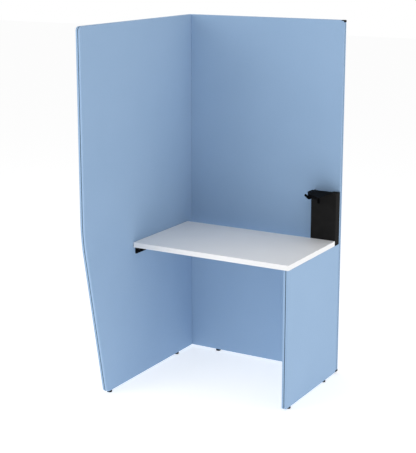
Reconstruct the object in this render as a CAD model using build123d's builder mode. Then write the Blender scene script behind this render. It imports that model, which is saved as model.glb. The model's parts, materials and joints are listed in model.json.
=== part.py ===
from build123d import *
from math import cos, radians, sin, tan
import os

os.makedirs("parts", exist_ok=True)

# Desk booth: two tall fabric panels and a low one, a desk between them, on levelling feet.
# Lengths are millimetres, +Z up, the user sits on the -Y side. Origin: middle of the footprint.

# The booth as a whole
booth_width = 882
booth_depth = 994
booth_height = 1800
panel_lift = 10
panel_thickness = 26
desk_height = 716
desk_thickness = 25
desk_depth = 521
desk_side_gap = 1
wiring_gap = 47

# Left panel's front edge: upright above the bend, slanting back below it
bend_height = 818
slant_angle = 10.8
bend_radius = 850
top_corner_radius = 20
bottom_corner_radius = 22

# Build of a panel: two covered boards, each with a raised rim of folded fabric, on a frame
groove_width = 3
sheet_thickness = 9
rim_width = 5
edge_round = 3
corner_round = 2
frame_setback = 6
member_width = 60
filler_gap = 0.5
upper_rail_height = 1240

# Bolts that join the back panel to the side panels
bolt_radius = 2.5
bolt_length = 60
bolt_head_radius = 4.75
bolt_head_height = 4
bolt_socket_radius = 1.7
bolt_socket_depth = 2
bolt_clearance = 0.1
bolt_passage = 0.7
bolt_pocket_radius = 6
bolt_pocket_depth = 7
bolt_cap_thickness = 2
bolt_cap_clearance = 0.1
nut_plate_inset = 15
nut_plate_depth = 20
nut_plate_height = 30
nut_plate_clearance = 0.2
left_bolt_shares = (0.12, 0.39, 0.66, 0.92)
right_bolt_shares = (0.25, 0.8)

# End caps on the back panel's free end
cap_length = 6
cap_drop = 10
cap_thickness = 3
cap_tongue_length = 12
cap_tongue_depth = 2.4
cap_clearance = 0.2
cap_round = 1

# Desk top and its edge band
band_thickness = 2
band_corner_radius = 4
band_edge_round = 0.8

# Desk brackets: steel angles along both ends of the desk
bracket_drop = 38
bracket_flange = 30
bracket_thickness = 3
bracket_bend_radius = 3
bracket_front_inset = 18
bracket_rear_inset = 18
bracket_corner_radius = 6
bracket_end_margin = 30
bracket_panel_screw_drop = 20
bracket_desk_screw_inset = 18
bracket_panel_screw_count = 4
bracket_desk_screw_count = 3
bracket_hole_clearance = 0.3

# Pan head screws of the brackets and the back plate
panel_screw_radius = 2.5
panel_screw_length = 16
desk_screw_radius = 2.25
desk_screw_length = 18
plate_screw_radius = 2
plate_screw_length = 11
screw_head_share = 1.9
screw_head_height_share = 1.1
screw_slot_share = 0.6
screw_clearance = 0.1

# Upright cable duct in the wiring gap
duct_width = 136
duct_height = 266
duct_front_clearance = 0.5
duct_sheet = 2
duct_fold_radius = 3
duct_top_flange = 18
duct_top_tab = 34
back_plate_clearance = 0.3
back_plate_top_drop = 17
back_plate_flange = 15
back_plate_screw_margin = 22
side_screw_radius = 1.5
side_screw_head_radius = 3
side_screw_length = 6
side_screw_low = 40
side_screw_high = 210
flush_hole_clearance = 0.1

# Hanger plate on top of the duct, with its turned-down tip and side lips and its hooked finger
hanger_width = 112
hanger_reach = 155
hanger_overlap = 16
hanger_left_overhang = 2
hanger_thickness = 3
hanger_outline_shares = ((0, 0), (0, 0.355), (0.28, 0.65), (0.91, 1), (1, 1), (1, 0))
hanger_corner_radius = 4
hanger_tip_drop = 24
hanger_lip_drop = 18
hanger_lip_step_drop = 7.5
hanger_lip_shares = (0.16, 0.77, 0.91)
nose_lip_drop = 12
nose_lip_shares = (0.125, 0.85)
hanger_bend_radius = 2.5
hanger_screw_radius = 2
hanger_screw_head_radius = 4
hanger_screw_length = 8
hanger_screw_setback = 8
hanger_screw_shares = (0.2, 0.8)
hanger_nut_radius = 4
hanger_nut_height = 3
finger_radius = 6
finger_root_inset = 37.5
finger_forward = 97.5
finger_depth = 27
finger_span = 31.5
finger_tip_drop = 2.5
finger_bend_radius = 8
finger_tip_round = 3.5
sleeve_wall = 1.2
sleeve_height = 21
sleeve_clearance = 0.1

# Levelling feet
foot_travel = 10
foot_pad_radius = 12.5
foot_pad_height = 8
foot_pad_shoulder = 7
foot_pad_top_radius = 11.5
foot_pad_chamfer = 0.8
foot_collar_radius = 5
foot_collar_clearance = 0.3
foot_stem_radius = 3
foot_thread_engagement = 15
foot_stem_socket = 5
foot_stem_chamfer = 0.6
foot_socket_clearance = 0.1
foot_thread_clearance = 0.08
foot_passage = 0.6
insert_width = 30
insert_height = 25
insert_clearance = 0.2
left_foot_front_inset = 38
left_foot_rear_inset = 145
right_foot_front_inset = 46
right_foot_rear_inset = 126
back_foot_left_inset = 183
back_foot_right_inset = 156

# Places worked out from the sizes above
overrun = 1
left_outer_x = -booth_width / 2
left_inner_x = left_outer_x + panel_thickness
right_outer_x = booth_width / 2
right_inner_x = right_outer_x - panel_thickness
back_rear_y = booth_depth / 2
back_front_y = back_rear_y - panel_thickness
left_front_y = -booth_depth / 2
left_core_x = left_outer_x + panel_thickness / 2
right_core_x = right_outer_x - panel_thickness / 2
back_core_y = back_rear_y - panel_thickness / 2
desk_rear_y = back_front_y - wiring_gap
desk_front_y = desk_rear_y - desk_depth
desk_under_z = desk_height - desk_thickness
slant_drop = bend_height - panel_lift
left_bottom_front_y = left_front_y + slant_drop * tan(radians(slant_angle))
desk_left_x = left_inner_x + desk_side_gap
desk_right_x = right_outer_x
rim_thickness = (panel_thickness - groove_width) / 2
frame_thickness = panel_thickness - 2 * sheet_thickness
bracket_screw_z = desk_under_z - bracket_panel_screw_drop


def save(piece, name):
    piece.part.label = name
    export_step(piece.part, f"parts/{name}.step")


# Outlines of the panels, drawn in from the edge by an inset


def left_outline(inset):
    lean = radians(slant_angle)
    front = left_front_y + inset
    top = booth_height - inset
    bottom = panel_lift + inset
    bend = bend_height + inset * tan(lean / 2)
    foot_y = left_front_y + (inset + (bend_height - bottom) * sin(lean)) / cos(lean)
    rear = back_front_y - inset
    rounds = (
        ((front, top), top_corner_radius - inset),
        ((front, bend), bend_radius - inset),
        ((foot_y, bottom), bottom_corner_radius - inset),
    )
    with BuildSketch() as outline:
        with BuildLine():
            Polyline((rear, top), (front, top), (front, bend), (foot_y, bottom), (rear, bottom), close=True)
        make_face()
        for corner, radius in rounds:
            if radius > 0:
                fillet(outline.vertices().sort_by_distance(corner)[0], radius)
        rear_corners = outline.vertices().group_by(Axis.X)[-1]
        if inset < corner_round:
            fillet(rear_corners, corner_round - inset)
    return outline.sketch


def upright_outline(near, far, top, inset):
    with BuildSketch() as outline:
        with Locations(((near + far) / 2, (top + panel_lift) / 2)):
            Rectangle(far - near - 2 * inset, top - panel_lift - 2 * inset)
        if inset < corner_round:
            fillet(outline.vertices(), corner_round - inset)
    return outline.sketch


def back_outline(inset):
    return upright_outline(left_outer_x, right_outer_x, booth_height, inset)


def right_outline(inset):
    return upright_outline(desk_front_y, back_front_y, desk_under_z, inset)


# A covered board starts on its face plane and grows inwards, which is 1 along the normal or -1


def covered_board(outline, face_plane, inwards):
    with BuildPart() as board:
        with BuildSketch(face_plane):
            add(outline(0))
        extrude(amount=inwards * sheet_thickness)
        face = board.faces().sort_by(Axis(face_plane.origin, inwards * face_plane.z_dir))[0]
        fillet(face.edges(), edge_round)
        with BuildSketch(face_plane.offset(inwards * sheet_thickness)):
            add(outline(0))
            add(outline(rim_width), mode=Mode.SUBTRACT)
        extrude(amount=inwards * (rim_thickness - sheet_thickness))
    return board.part


def frame_windows(outline, rails, shrink):
    with BuildSketch() as windows:
        add(outline(frame_setback + member_width + shrink))
        for height in rails:
            with Locations((0, height)):
                Rectangle(2 * booth_depth, member_width + 2 * shrink, mode=Mode.SUBTRACT)
    return windows.sketch


def panel_frame(outline, rails, face_plane):
    with BuildPart() as frame:
        with BuildSketch(face_plane):
            add(outline(frame_setback))
            add(frame_windows(outline, rails, 0), mode=Mode.SUBTRACT)
        extrude(amount=frame_thickness)
    return frame.part


def panel_filler(outline, rails, face_plane):
    with BuildPart() as filler:
        with BuildSketch(face_plane):
            add(frame_windows(outline, rails, filler_gap))
        extrude(amount=frame_thickness)
    return filler.part


# Cutters: round holes along a plane's normal, and a box between two corners


def drilled(plane, points, radius, depth):
    with BuildPart() as drills:
        with BuildSketch(plane):
            with Locations(*points):
                Circle(radius)
        extrude(amount=depth)
    return drills.part


def block(low, high):
    with BuildPart() as solid:
        with Locations(low):
            Box(*(b - a for a, b in zip(low, high)), align=(Align.MIN, Align.MIN, Align.MIN))
    return solid.part


# Fasteners stand on the origin: head above, shank below


def pan_screw(radius, length):
    head_radius = radius * screw_head_share
    head_height = radius * screw_head_height_share
    slot = radius * screw_slot_share
    with BuildPart() as screw:
        Cylinder(head_radius, head_height, align=(Align.CENTER, Align.CENTER, Align.MIN))
        fillet(screw.edges().sort_by(Axis.Z)[-1], head_height / 2)
        Cylinder(radius, length, align=(Align.CENTER, Align.CENTER, Align.MAX))
        for turn in (0, 90):
            with Locations(Location((0, 0, head_height), (0, 0, turn))):
                Box(head_radius, slot, head_height, mode=Mode.SUBTRACT)
    return screw.part


def flush_screw(radius, head_radius, length):
    head_depth = head_radius - radius
    with BuildPart() as screw:
        with BuildSketch(Plane.XZ):
            with BuildLine():
                Polyline(
                    (0, 0),
                    (head_radius, 0),
                    (radius, -head_depth),
                    (radius, -length),
                    (0, -length),
                    close=True,
                )
            make_face()
        revolve(axis=Axis.Z)
        with BuildSketch():
            RegularPolygon(radius, 6)
        extrude(amount=-head_depth, mode=Mode.SUBTRACT)
    return screw.part


# Bolts run forwards through the back panel into the side panels' frames
left_panel_height = booth_height - panel_lift
right_panel_height = desk_under_z - panel_lift
left_bolts = [(left_core_x, panel_lift + share * left_panel_height) for share in left_bolt_shares]
right_bolts = [(right_core_x, panel_lift + share * right_panel_height) for share in right_bolt_shares]
bolt_points = left_bolts + right_bolts
rear_plane = Plane.XZ.offset(-back_rear_y)
side_rear_plane = Plane.XZ.offset(-back_front_y)
bolt_floor_y = back_rear_y - bolt_pocket_depth
nut_rear_y = back_front_y - frame_setback - nut_plate_inset


def bolt_holes(points, radius, depth):
    return drilled(side_rear_plane, points, radius, depth)


def nut_plate_pockets(points, clearance):
    half_height = nut_plate_height / 2 + clearance
    with BuildPart() as pockets:
        for x, z in points:
            add(
                block(
                    (x - frame_thickness / 2, nut_rear_y - nut_plate_depth - clearance, z - half_height),
                    (x + frame_thickness / 2, nut_rear_y + clearance, z + half_height),
                )
            )
    return pockets.part


# Feet: where each stands, and the pockets and passages that its insert and stem need
feet = {
    "left_front": (left_core_x, left_bottom_front_y + left_foot_front_inset),
    "left_rear": (left_core_x, back_front_y - left_foot_rear_inset),
    "back_left": (left_outer_x + back_foot_left_inset, back_core_y),
    "back_right": (right_outer_x - back_foot_right_inset, back_core_y),
    "right_front": (right_core_x, desk_front_y + right_foot_front_inset),
    "right_rear": (right_core_x, back_front_y - right_foot_rear_inset),
}
foot_floor_z = panel_lift + frame_setback
lift_plane = Plane.XY.offset(panel_lift)


def foot_spots(*names):
    return [feet[name] for name in names]


def foot_passages(spots):
    return drilled(lift_plane, spots, foot_stem_radius + foot_passage, frame_setback)


def insert_blocks(spots, along, clearance):
    half_width = insert_width / 2 + clearance
    half_thickness = frame_thickness / 2
    with BuildPart() as blocks:
        for x, y in spots:
            half_x, half_y = (half_thickness, half_width) if along == "y" else (half_width, half_thickness)
            add(
                block(
                    (x - half_x, y - half_y, foot_floor_z),
                    (x + half_x, y + half_y, foot_floor_z + insert_height + clearance),
                )
            )
    return blocks.part


# End caps: an angle over each corner of the back panel's free end, with a tongue in the groove


def end_cap(clearance):
    top = booth_height
    with BuildPart() as cap:
        add(
            block(
                (right_outer_x - cap_length - clearance, back_front_y, top - cap_thickness - clearance),
                (right_outer_x, back_rear_y, top),
            )
        )
        add(
            block(
                (right_outer_x - cap_thickness - clearance, back_front_y, top - cap_drop - clearance),
                (right_outer_x, back_rear_y, top),
            )
        )
    return cap.part


cap_mid_plane = Plane.XY.offset((booth_height + panel_lift) / 2)
tongue_half = groove_width / 2 - cap_clearance
cap_inner_corner = (right_outer_x - cap_thickness, back_core_y, booth_height - cap_thickness)

with BuildPart() as end_cap_top:
    add(end_cap(0))
    fillet(end_cap_top.edges().filter_by(Axis.Y).sort_by_distance(cap_inner_corner)[1:], cap_round)
    add(
        block(
            (
                right_outer_x - cap_thickness - cap_tongue_length,
                back_core_y - tongue_half,
                booth_height - cap_thickness - cap_tongue_depth,
            ),
            (right_outer_x - cap_thickness, back_core_y + tongue_half, booth_height - cap_thickness),
        )
    )
save(end_cap_top, "end_cap_top")

with BuildPart() as end_cap_bottom:
    mirror(end_cap_top.part, about=cap_mid_plane)
save(end_cap_bottom, "end_cap_bottom")

with BuildPart() as cap_notches:
    add(end_cap(cap_clearance))
    mirror(cap_notches.part, about=cap_mid_plane)

# Screw places on the brackets and on the duct's back plate
bracket_front_y = desk_front_y + bracket_front_inset
bracket_rear_y = desk_rear_y - bracket_rear_inset
bracket_length = bracket_rear_y - bracket_front_y


def spread(low, high, count):
    step = (high - low) / (count - 1)
    return [low + step * index for index in range(count)]


panel_screw_ys = spread(
    bracket_front_y + bracket_end_margin, bracket_rear_y - bracket_end_margin, bracket_panel_screw_count
)
desk_screw_ys = spread(
    bracket_front_y + bracket_end_margin, bracket_rear_y - bracket_end_margin, bracket_desk_screw_count
)
left_screw_plane = Plane(
    (left_inner_x + bracket_thickness, 0, bracket_screw_z), x_dir=(0, 1, 0), z_dir=(1, 0, 0)
)
right_screw_plane = Plane(
    (right_inner_x - bracket_thickness, 0, bracket_screw_z), x_dir=(0, 1, 0), z_dir=(-1, 0, 0)
)
panel_screw_points = [(y, 0) for y in panel_screw_ys]

duct_left_x = right_outer_x - duct_width
duct_front_y = desk_rear_y + duct_front_clearance
duct_top_z = desk_under_z + duct_height
back_plate_top_z = duct_top_z - back_plate_top_drop
plate_left_x = duct_left_x + duct_sheet + back_plate_clearance
plate_right_x = right_outer_x - duct_sheet - back_plate_clearance
plate_plane = Plane.XZ.offset(-(back_front_y - duct_sheet))
plate_screw_points = [
    (x, z)
    for x in (plate_left_x + back_plate_screw_margin, plate_right_x - back_plate_screw_margin)
    for z in (desk_under_z + back_plate_screw_margin, back_plate_top_z - back_plate_screw_margin)
]

# Left panel
left_rails = (bracket_screw_z, upper_rail_height)
left_passages = bolt_holes(left_bolts, bolt_radius + bolt_passage, frame_setback)
left_foot_spots = foot_spots("left_front", "left_rear")
left_screw_holes = drilled(
    left_screw_plane, panel_screw_points, panel_screw_radius + screw_clearance, -panel_screw_length
)

with BuildPart() as left_panel_outer_board:
    add(covered_board(left_outline, Plane.YZ.offset(left_outer_x), 1))
    add(left_passages, mode=Mode.SUBTRACT)
    add(foot_passages(left_foot_spots), mode=Mode.SUBTRACT)
save(left_panel_outer_board, "left_panel_outer_board")

with BuildPart() as left_panel_inner_board:
    add(covered_board(left_outline, Plane.YZ.offset(left_inner_x), -1))
    add(left_passages, mode=Mode.SUBTRACT)
    add(foot_passages(left_foot_spots), mode=Mode.SUBTRACT)
    add(left_screw_holes, mode=Mode.SUBTRACT)
save(left_panel_inner_board, "left_panel_inner_board")

left_frame_plane = Plane.YZ.offset(left_outer_x + sheet_thickness)
bolt_reach = bolt_floor_y - bolt_length - back_front_y

with BuildPart() as left_panel_frame:
    add(panel_frame(left_outline, left_rails, left_frame_plane))
    add(bolt_holes(left_bolts, bolt_radius + bolt_clearance, -bolt_reach), mode=Mode.SUBTRACT)
    add(nut_plate_pockets(left_bolts, nut_plate_clearance), mode=Mode.SUBTRACT)
    add(insert_blocks(left_foot_spots, "y", insert_clearance), mode=Mode.SUBTRACT)
    add(left_screw_holes, mode=Mode.SUBTRACT)
save(left_panel_frame, "left_panel_frame")

with BuildPart() as left_panel_filler:
    add(panel_filler(left_outline, left_rails, left_frame_plane))
save(left_panel_filler, "left_panel_filler")

# Right panel
right_passages = bolt_holes(right_bolts, bolt_radius + bolt_passage, frame_setback)
right_foot_spots = foot_spots("right_front", "right_rear")
right_screw_holes = drilled(
    right_screw_plane, panel_screw_points, panel_screw_radius + screw_clearance, -panel_screw_length
)

with BuildPart() as right_panel_outer_board:
    add(covered_board(right_outline, Plane.YZ.offset(right_outer_x), -1))
    add(right_passages, mode=Mode.SUBTRACT)
    add(foot_passages(right_foot_spots), mode=Mode.SUBTRACT)
save(right_panel_outer_board, "right_panel_outer_board")

with BuildPart() as right_panel_inner_board:
    add(covered_board(right_outline, Plane.YZ.offset(right_inner_x), 1))
    add(right_passages, mode=Mode.SUBTRACT)
    add(foot_passages(right_foot_spots), mode=Mode.SUBTRACT)
    add(right_screw_holes, mode=Mode.SUBTRACT)
save(right_panel_inner_board, "right_panel_inner_board")

right_frame_plane = Plane.YZ.offset(right_inner_x + sheet_thickness)

with BuildPart() as right_panel_frame:
    add(panel_frame(right_outline, (), right_frame_plane))
    add(bolt_holes(right_bolts, bolt_radius + bolt_clearance, -bolt_reach), mode=Mode.SUBTRACT)
    add(nut_plate_pockets(right_bolts, nut_plate_clearance), mode=Mode.SUBTRACT)
    add(insert_blocks(right_foot_spots, "y", insert_clearance), mode=Mode.SUBTRACT)
    add(right_screw_holes, mode=Mode.SUBTRACT)
save(right_panel_frame, "right_panel_frame")

with BuildPart() as right_panel_filler:
    add(panel_filler(right_outline, (), right_frame_plane))
save(right_panel_filler, "right_panel_filler")

# Back panel
back_foot_spots = foot_spots("back_left", "back_right")
back_bolt_holes = drilled(
    rear_plane, bolt_points, bolt_radius + bolt_clearance, panel_thickness
)
back_head_pockets = drilled(rear_plane, bolt_points, bolt_pocket_radius, bolt_pocket_depth)
back_screw_holes = drilled(
    plate_plane, plate_screw_points, plate_screw_radius + screw_clearance, -plate_screw_length
)

with BuildPart() as back_panel_front_board:
    add(covered_board(back_outline, Plane.XZ.offset(-back_front_y), -1))
    add(back_bolt_holes, mode=Mode.SUBTRACT)
    add(back_screw_holes, mode=Mode.SUBTRACT)
    add(foot_passages(back_foot_spots), mode=Mode.SUBTRACT)
    add(cap_notches.part, mode=Mode.SUBTRACT)
save(back_panel_front_board, "back_panel_front_board")

with BuildPart() as back_panel_rear_board:
    add(covered_board(back_outline, rear_plane, 1))
    add(back_bolt_holes, mode=Mode.SUBTRACT)
    add(back_head_pockets, mode=Mode.SUBTRACT)
    add(foot_passages(back_foot_spots), mode=Mode.SUBTRACT)
    add(cap_notches.part, mode=Mode.SUBTRACT)
save(back_panel_rear_board, "back_panel_rear_board")

back_frame_plane = Plane.XZ.offset(-(back_rear_y - sheet_thickness))
back_rails = (bracket_screw_z, upper_rail_height)

with BuildPart() as back_panel_frame:
    add(panel_frame(back_outline, back_rails, back_frame_plane))
    add(back_bolt_holes, mode=Mode.SUBTRACT)
    add(insert_blocks(back_foot_spots, "x", insert_clearance), mode=Mode.SUBTRACT)
save(back_panel_frame, "back_panel_frame")

with BuildPart() as back_panel_filler:
    add(panel_filler(back_outline, back_rails, back_frame_plane))
save(back_panel_filler, "back_panel_filler")

# Bolts, nut plates and caps that hold the back panel to the side panels
with BuildPart() as one_bolt:
    Cylinder(bolt_head_radius, bolt_head_height, align=(Align.CENTER, Align.CENTER, Align.MIN))
    fillet(one_bolt.edges().sort_by(Axis.Z)[-1], bolt_head_height / 2)
    Cylinder(bolt_radius, bolt_length, align=(Align.CENTER, Align.CENTER, Align.MAX))
    with BuildSketch(Plane.XY.offset(bolt_head_height)):
        RegularPolygon(bolt_socket_radius, 6)
    extrude(amount=-bolt_socket_depth, mode=Mode.SUBTRACT)

with BuildPart() as corner_bolts:
    with Locations(*(Plane((x, bolt_floor_y, z), z_dir=(0, 1, 0)) for x, z in bolt_points)):
        add(one_bolt.part)
save(corner_bolts, "corner_bolts")

with BuildPart() as corner_bolt_caps:
    with BuildSketch(rear_plane):
        with Locations(*bolt_points):
            Circle(bolt_pocket_radius - bolt_cap_clearance)
    extrude(amount=bolt_cap_thickness)
    fillet(corner_bolt_caps.edges().group_by(Axis.Y)[-1], bolt_cap_thickness / 4)
save(corner_bolt_caps, "corner_bolt_caps")

with BuildPart() as corner_nut_plates:
    add(nut_plate_pockets(bolt_points, 0))
    add(
        drilled(
            Plane.XZ.offset(-nut_rear_y), bolt_points, bolt_radius + bolt_clearance, nut_plate_depth
        ),
        mode=Mode.SUBTRACT,
    )
save(corner_nut_plates, "corner_nut_plates")

# Desk top and its edge band
desk_mid_x = (desk_left_x + desk_right_x) / 2
desk_mid_y = (desk_front_y + desk_rear_y) / 2
desk_width = desk_right_x - desk_left_x
desk_screw_xs = (left_inner_x + bracket_desk_screw_inset, right_inner_x - bracket_desk_screw_inset)
desk_screw_points = [(x, y) for x in desk_screw_xs for y in desk_screw_ys]
desk_screw_plane = Plane.XY.offset(desk_under_z - bracket_thickness)

with BuildPart() as desk_top:
    with BuildSketch(Plane.XY.offset(desk_under_z)):
        with Locations((desk_mid_x, desk_mid_y)):
            RectangleRounded(
                desk_width - 2 * band_thickness,
                desk_depth - 2 * band_thickness,
                band_corner_radius - band_thickness,
            )
    extrude(amount=desk_thickness)
    add(
        drilled(
            desk_screw_plane, desk_screw_points, desk_screw_radius + screw_clearance, desk_screw_length
        ),
        mode=Mode.SUBTRACT,
    )
save(desk_top, "desk_top")

with BuildPart() as desk_edge_band:
    with BuildSketch(Plane.XY.offset(desk_under_z)):
        with Locations((desk_mid_x, desk_mid_y)):
            RectangleRounded(desk_width, desk_depth, band_corner_radius)
            RectangleRounded(
                desk_width - 2 * band_thickness,
                desk_depth - 2 * band_thickness,
                band_corner_radius - band_thickness,
                mode=Mode.SUBTRACT,
            )
    extrude(amount=desk_thickness)
    band_rim = desk_edge_band.faces().sort_by(Axis.Z)[-1].outer_wire()
    fillet(band_rim.edges(), band_edge_round)
save(desk_edge_band, "desk_edge_band")

# Desk brackets: the right one mirrors the left one in the plane midway between the side panels
bracket_section_plane = Plane.XZ.offset(-bracket_rear_y)
inner_mid_plane = Plane.YZ.offset((left_inner_x + right_inner_x) / 2)
panel_hole_radius = panel_screw_radius + bracket_hole_clearance
desk_hole_radius = desk_screw_radius + bracket_hole_clearance
corner_x = left_inner_x + bracket_thickness
corner_z = desk_under_z - bracket_thickness

with BuildPart() as left_desk_bracket:
    with BuildSketch(bracket_section_plane) as bracket_section:
        with BuildLine():
            Polyline(
                (left_inner_x, desk_under_z),
                (left_inner_x + bracket_flange, desk_under_z),
                (left_inner_x + bracket_flange, corner_z),
                (corner_x, corner_z),
                (corner_x, desk_under_z - bracket_drop),
                (left_inner_x, desk_under_z - bracket_drop),
                close=True,
            )
        make_face()
        fillet(bracket_section.vertices().sort_by_distance((corner_x, corner_z))[0], bracket_bend_radius)
    extrude(amount=bracket_length)
    free_corners = left_desk_bracket.edges().filter_by(Axis.X).group_by(Axis.Z)[0]
    fillet(free_corners, bracket_corner_radius)
    add(
        drilled(left_screw_plane, panel_screw_points, panel_hole_radius, -bracket_thickness),
        mode=Mode.SUBTRACT,
    )
    add(
        drilled(desk_screw_plane, desk_screw_points, desk_hole_radius, bracket_thickness),
        mode=Mode.SUBTRACT,
    )
save(left_desk_bracket, "left_desk_bracket")

with BuildPart() as right_desk_bracket:
    mirror(left_desk_bracket.part, about=inner_mid_plane)
save(right_desk_bracket, "right_desk_bracket")

with BuildPart() as bracket_panel_screws:
    for plane in (left_screw_plane, right_screw_plane):
        spots = [Plane(plane.from_local_coords((y, 0, 0)), z_dir=plane.z_dir) for y in panel_screw_ys]
        with Locations(*spots):
            add(pan_screw(panel_screw_radius, panel_screw_length))
save(bracket_panel_screws, "bracket_panel_screws")

with BuildPart() as bracket_desk_screws:
    with Locations(*(Plane((x, y, corner_z), z_dir=(0, 0, -1)) for x, y in desk_screw_points)):
        add(pan_screw(desk_screw_radius, desk_screw_length))
save(bracket_desk_screws, "bracket_desk_screws")

# Upright cable duct: folded cover, open below and at the back of its top, on a back plate
side_screw_y = back_front_y - back_plate_flange / 2
side_screw_zs = (desk_under_z + side_screw_low, desk_under_z + side_screw_high)
side_screw_planes = [
    Plane((x, side_screw_y, z), z_dir=(direction, 0, 0))
    for x, direction in ((duct_left_x, -1), (right_outer_x, 1))
    for z in side_screw_zs
]
hanger_left_x = duct_left_x - hanger_left_overhang
hanger_right_x = hanger_left_x + hanger_width
hanger_rear_y = duct_front_y + hanger_overlap
hanger_front_y = hanger_rear_y - hanger_reach
hanger_screw_y = hanger_rear_y - hanger_screw_setback
hanger_screw_points = [
    (duct_left_x + share * (hanger_right_x - duct_left_x), hanger_screw_y) for share in hanger_screw_shares
]
hanger_top_z = duct_top_z + hanger_thickness

with BuildPart() as cable_duct_cover:
    with BuildSketch(Plane.XY.offset(desk_under_z)) as cover_section:
        with BuildLine():
            Polyline(
                (duct_left_x, back_front_y),
                (duct_left_x, duct_front_y),
                (right_outer_x, duct_front_y),
                (right_outer_x, back_front_y),
                (right_outer_x - duct_sheet, back_front_y),
                (right_outer_x - duct_sheet, duct_front_y + duct_sheet),
                (duct_left_x + duct_sheet, duct_front_y + duct_sheet),
                (duct_left_x + duct_sheet, back_front_y),
                close=True,
            )
        make_face()
        for x in (duct_left_x, right_outer_x):
            fillet(cover_section.vertices().sort_by_distance((x, duct_front_y))[0], duct_fold_radius)
        for x in (duct_left_x + duct_sheet, right_outer_x - duct_sheet):
            inner_corner = (x, duct_front_y + duct_sheet)
            inner_radius = duct_fold_radius - duct_sheet
            fillet(cover_section.vertices().sort_by_distance(inner_corner)[0], inner_radius)
    extrude(amount=duct_height)
    add(
        block(
            (duct_left_x + duct_sheet, duct_front_y + duct_sheet, duct_top_z - duct_sheet),
            (right_outer_x - duct_sheet, duct_front_y + duct_top_flange, duct_top_z),
        )
    )
    add(
        block(
            (right_outer_x - duct_top_tab, duct_front_y + duct_sheet, duct_top_z - duct_sheet),
            (right_outer_x - duct_sheet, back_front_y, duct_top_z),
        )
    )
    with Locations(*side_screw_planes):
        CounterSinkHole(
            side_screw_radius + flush_hole_clearance,
            side_screw_head_radius + flush_hole_clearance,
            duct_sheet + overrun,
        )
    add(
        drilled(
            Plane.XY.offset(duct_top_z - duct_sheet),
            hanger_screw_points,
            hanger_screw_radius + flush_hole_clearance,
            duct_sheet,
        ),
        mode=Mode.SUBTRACT,
    )
save(cable_duct_cover, "cable_duct_cover")

with BuildPart() as cable_duct_back_plate:
    add(
        block(
            (plate_left_x, back_front_y - back_plate_flange, desk_under_z),
            (plate_right_x, back_front_y, back_plate_top_z),
        )
    )
    add(
        block(
            (plate_left_x + duct_sheet, back_front_y - back_plate_flange, desk_under_z),
            (plate_right_x - duct_sheet, back_front_y - duct_sheet, back_plate_top_z),
        ),
        mode=Mode.SUBTRACT,
    )
    add(
        drilled(plate_plane, plate_screw_points, plate_screw_radius + bracket_hole_clearance, -duct_sheet),
        mode=Mode.SUBTRACT,
    )
    with Locations(*side_screw_planes):
        Hole(side_screw_radius + flush_hole_clearance, side_screw_length + overrun)
save(cable_duct_back_plate, "cable_duct_back_plate")

with BuildPart() as back_plate_screws:
    plate_face_y = back_front_y - duct_sheet
    with Locations(*(Plane((x, plate_face_y, z), z_dir=(0, -1, 0)) for x, z in plate_screw_points)):
        add(pan_screw(plate_screw_radius, plate_screw_length))
save(back_plate_screws, "back_plate_screws")

with BuildPart() as duct_side_screws:
    with Locations(*side_screw_planes):
        add(flush_screw(side_screw_radius, side_screw_head_radius, side_screw_length))
save(duct_side_screws, "duct_side_screws")

# Hanger plate: its outline runs from the rear left corner round to the rear right one
tip_width = hanger_width * (1 - hanger_outline_shares[3][0])
hanger_corners = [
    (hanger_left_x + across * hanger_width, hanger_rear_y - forward * hanger_reach)
    for across, forward in hanger_outline_shares
]
lip_edge = Edge.make_line(hanger_corners[1], hanger_corners[2])
nose_edge = Edge.make_line(hanger_corners[2], hanger_corners[3])
lip_runs = [
    (lip_edge, hanger_lip_shares[0], hanger_lip_shares[1], hanger_lip_drop),
    (lip_edge, hanger_lip_shares[0], hanger_lip_shares[2], hanger_lip_step_drop),
    (nose_edge, nose_lip_shares[0], nose_lip_shares[1], nose_lip_drop),
]

with BuildPart() as hanger_plate:
    with BuildSketch(Plane.XY.offset(duct_top_z)) as hanger_outline:
        with BuildLine():
            Polyline(*hanger_corners, close=True)
        make_face()
        fillet(hanger_outline.vertices().group_by(Axis.X)[0], hanger_corner_radius)
    extrude(amount=hanger_thickness)
    for run_edge, start_share, end_share, lip_drop in lip_runs:
        lip_start = run_edge @ start_share
        with BuildSketch(
            Plane((lip_start.X, lip_start.Y, duct_top_z), x_dir=run_edge % start_share, z_dir=(0, 0, -1))
        ):
            Rectangle(
                run_edge.length * (end_share - start_share),
                hanger_thickness,
                align=(Align.MIN, Align.MAX),
            )
        extrude(amount=lip_drop)
    add(
        block(
            (hanger_right_x - tip_width, hanger_front_y, hanger_top_z - hanger_thickness - hanger_tip_drop),
            (hanger_right_x, hanger_front_y + hanger_thickness, hanger_top_z),
        )
    )
    tip_edges = hanger_plate.edges().filter_by(Axis.X).group_by(Axis.Y)[0].sort_by(Axis.Z)
    fillet(tip_edges[-1], hanger_bend_radius)
    with Locations(*((x, y, hanger_top_z) for x, y in hanger_screw_points)):
        CounterSinkHole(
            hanger_screw_radius + flush_hole_clearance,
            hanger_screw_head_radius + flush_hole_clearance,
            hanger_thickness + overrun,
        )
save(hanger_plate, "hanger_plate")

with BuildPart() as hanger_screws:
    with Locations(*((x, y, hanger_top_z) for x, y in hanger_screw_points)):
        add(flush_screw(hanger_screw_radius, hanger_screw_head_radius, hanger_screw_length))
save(hanger_screws, "hanger_screws")

with BuildPart() as hanger_nuts:
    nut_plane = Plane.XY.offset(duct_top_z - duct_sheet)
    with BuildSketch(nut_plane):
        with Locations(*hanger_screw_points):
            RegularPolygon(hanger_nut_radius, 6)
            Circle(hanger_screw_radius + flush_hole_clearance, mode=Mode.SUBTRACT)
    extrude(amount=-hanger_nut_height)
save(hanger_nuts, "hanger_nuts")

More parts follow.
